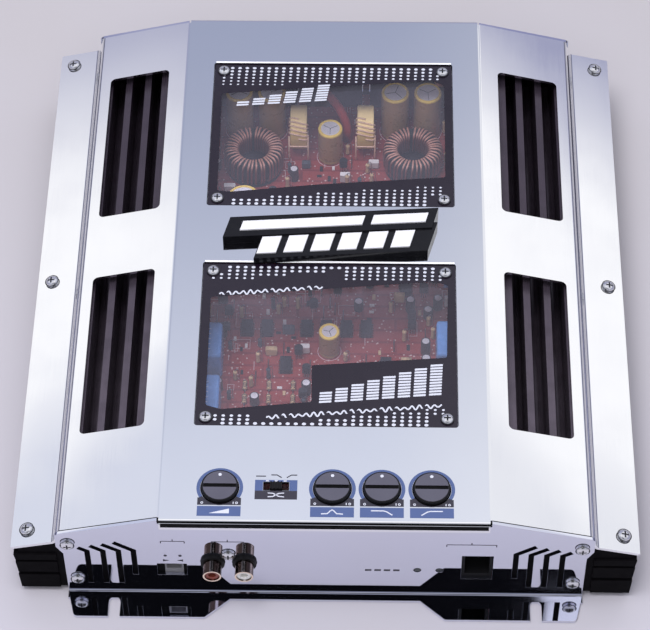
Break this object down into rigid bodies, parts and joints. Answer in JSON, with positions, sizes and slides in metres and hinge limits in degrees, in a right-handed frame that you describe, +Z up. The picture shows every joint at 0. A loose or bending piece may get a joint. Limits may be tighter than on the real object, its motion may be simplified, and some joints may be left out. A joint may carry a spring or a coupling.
{
  "type": "car audio power amplifier",
  "caption": "Flat mirror-finished car audio amplifier with finned heat sinks under a bent cover, viewing panes, top controls, signal sockets and end terminals.",
  "frame": {"origin": "middle of the underside, in the plane of the bottom plate and the mounting tabs", "axes": "+X to the right seen from the signal sockets, +Y towards the power terminals, +Z up through the cover"},
  "size_m": [0.28, 0.329, 0.0656],
  "materials": {
    "mirror_sheet": "mirror-polished sheet",
    "panel_sheet": "mirror-polished sheet",
    "plate_steel": "plain rolled sheet",
    "black_anodised": "black anodised, satin",
    "clear_acrylic": "clear, glossy",
    "screw_chrome": "bright plated",
    "badge_black": "gloss",
    "badge_white": "gloss",
    "knob_grey": "satin",
    "black_plastic": "satin",
    "white_plastic": "satin",
    "red_plastic": "satin",
    "board_red": "solder mask, glossy",
    "brass": "plated",
    "zinc": "plated steel",
    "ferrite": "coated core",
    "copper_wire": "enamelled copper",
    "core_yellow": "painted core",
    "capacitor_gold": "printed sleeve",
    "film_blue": "dipped",
    "ceramic_tan": "ceramic",
    "lead_red": "vinyl",
    "lamp_clear": "tinted lens",
    "fuse_blue": "translucent",
    "pad_grey": "silicone"
  },
  "bodies": {
    "root": {"top_cover": "mirror_sheet", "front_panel": "panel_sheet", "rear_panel": "panel_sheet", "bottom_plate": "plate_steel", "heatsink_left": "black_anodised", "heatsink_right": "black_anodised", "end_caps_front": "black_anodised", "end_caps_rear": "black_anodised", "window_rear": "clear_acrylic", "window_front": "clear_acrylic", "window_frames": "zinc", "window_screws": "screw_chrome", "badge_plate": "badge_black", "badge_inlay": "badge_white", "pot_bodies": "zinc", "switch_body": "zinc", "control_board": "board_red", "main_board": "board_red", "standoffs": "brass", "board_screws": "screw_chrome", "toroid_cores": "ferrite", "toroid_windings": "copper_wire", "choke_cores": "core_yellow", "choke_windings": "copper_wire", "main_capacitors": "capacitor_gold", "signal_capacitors": "black_plastic", "film_capacitors": "film_blue", "resistors": "ceramic_tan", "signal_chips": "black_plastic", "power_transistors": "black_plastic", "transistor_clamps": "zinc", "insulator_strips": "pad_grey", "clamp_screws": "screw_chrome", "rca_block": "black_plastic", "rca_shells": "brass", "rca_insert_red": "red_plastic", "rca_insert_white": "white_plastic", "high_input_socket": "white_plastic", "remote_jack": "black_plastic", "indicator_lamps": "lamp_clear", "power_lead": "lead_red", "power_block": "black_plastic", "speaker_block": "black_plastic", "terminal_screws": "brass", "fuse_holder": "black_plastic", "fuses": "fuse_blue", "cover_screws": "screw_chrome", "panel_screws": "screw_chrome", "bottom_screws": "screw_chrome"},
    "knob_level": {"knob_level": "knob_grey", "shaft_level": "zinc"},
    "knob_bass": {"knob_bass": "knob_grey", "shaft_bass": "zinc"},
    "knob_low_pass": {"knob_low_pass": "knob_grey", "shaft_low_pass": "zinc"},
    "knob_high_pass": {"knob_high_pass": "knob_grey", "shaft_high_pass": "zinc"},
    "switch_slider": {"switch_slider": "black_plastic"}
  },
  "joints": [
    {"name": "turn_level", "type": "hinge", "parent": "root", "child": "knob_level", "pos_m": [-0.0463, -0.1334, 0.0575], "axis": [0, 0, 1], "range_deg": [-140, 140]},
    {"name": "turn_bass", "type": "hinge", "parent": "root", "child": "knob_bass", "pos_m": [0.0033, -0.1334, 0.0575], "axis": [0, 0, 1], "range_deg": [-140, 140]},
    {"name": "turn_low_pass", "type": "hinge", "parent": "root", "child": "knob_low_pass", "pos_m": [0.0251, -0.1334, 0.0575], "axis": [0, 0, 1], "range_deg": [-140, 140]},
    {"name": "turn_high_pass", "type": "hinge", "parent": "root", "child": "knob_high_pass", "pos_m": [0.047, -0.1334, 0.0575], "axis": [0, 0, 1], "range_deg": [-140, 140]},
    {"name": "slide_crossover", "type": "slide", "parent": "root", "child": "switch_slider", "axis": [1, 0, 0], "range_m": [-0.0026, 0.0026]}
  ]
}
